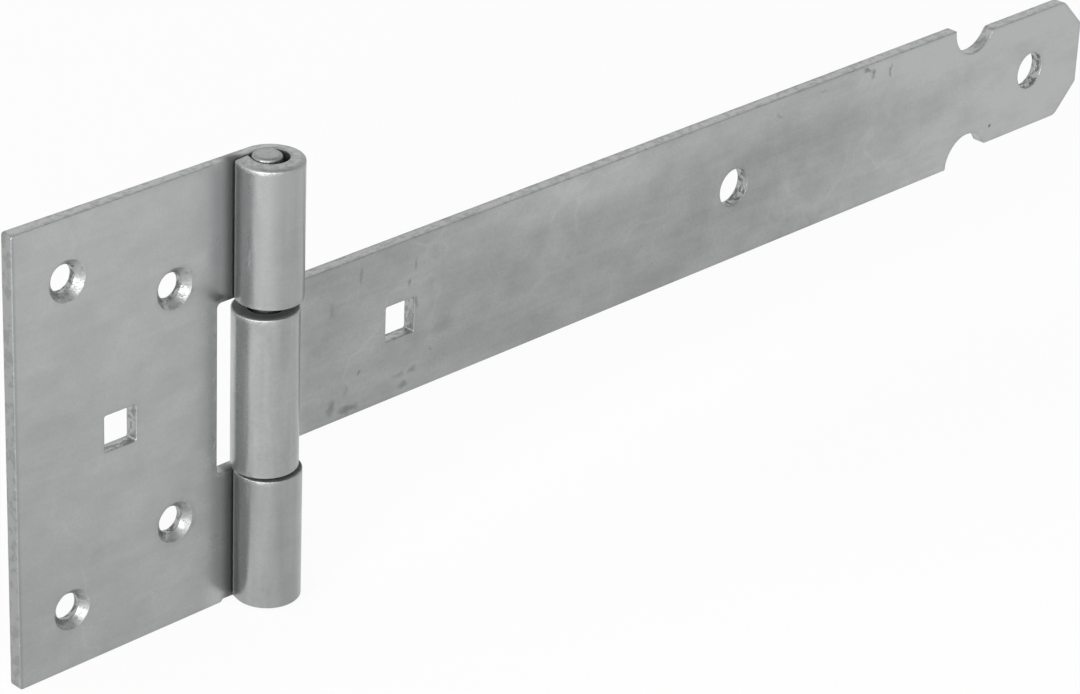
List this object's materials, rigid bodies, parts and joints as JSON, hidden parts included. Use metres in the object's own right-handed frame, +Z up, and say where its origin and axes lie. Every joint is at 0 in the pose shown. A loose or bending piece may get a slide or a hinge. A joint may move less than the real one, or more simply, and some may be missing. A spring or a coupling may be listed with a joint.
{
  "type": "tee hinge",
  "caption": "Heavy tee hinge of zinc plated steel: a plate leaf and a long strap leaf swing on one pin through three rolled eyes.",
  "frame": {"origin": "on the plate leaf's mounting face, midway between its two inner screw holes", "axes": "+X along the strap towards its tip, +Y from the visible front to the mounting face, +Z up along the hinge pin"},
  "size_m": [0.3689, 0.0157, 0.1119],
  "materials": {
    "plate_zinc": "satin zinc plating on rolled steel strip",
    "strap_zinc": "satin zinc plating on rolled steel strip",
    "pin_zinc": "satin zinc plating on drawn steel rod"
  },
  "bodies": {
    "plate": {"plate_leaf": "plate_zinc", "hinge_pin": "pin_zinc"},
    "strap": {"strap_leaf": "strap_zinc"}
  },
  "joints": [
    {"name": "strap_swing", "type": "hinge", "parent": "plate", "child": "strap", "pos_m": [0.0229, -0.00785, -0.0004], "axis": [0, 0, 1], "range_deg": [-186, 104]}
  ]
}
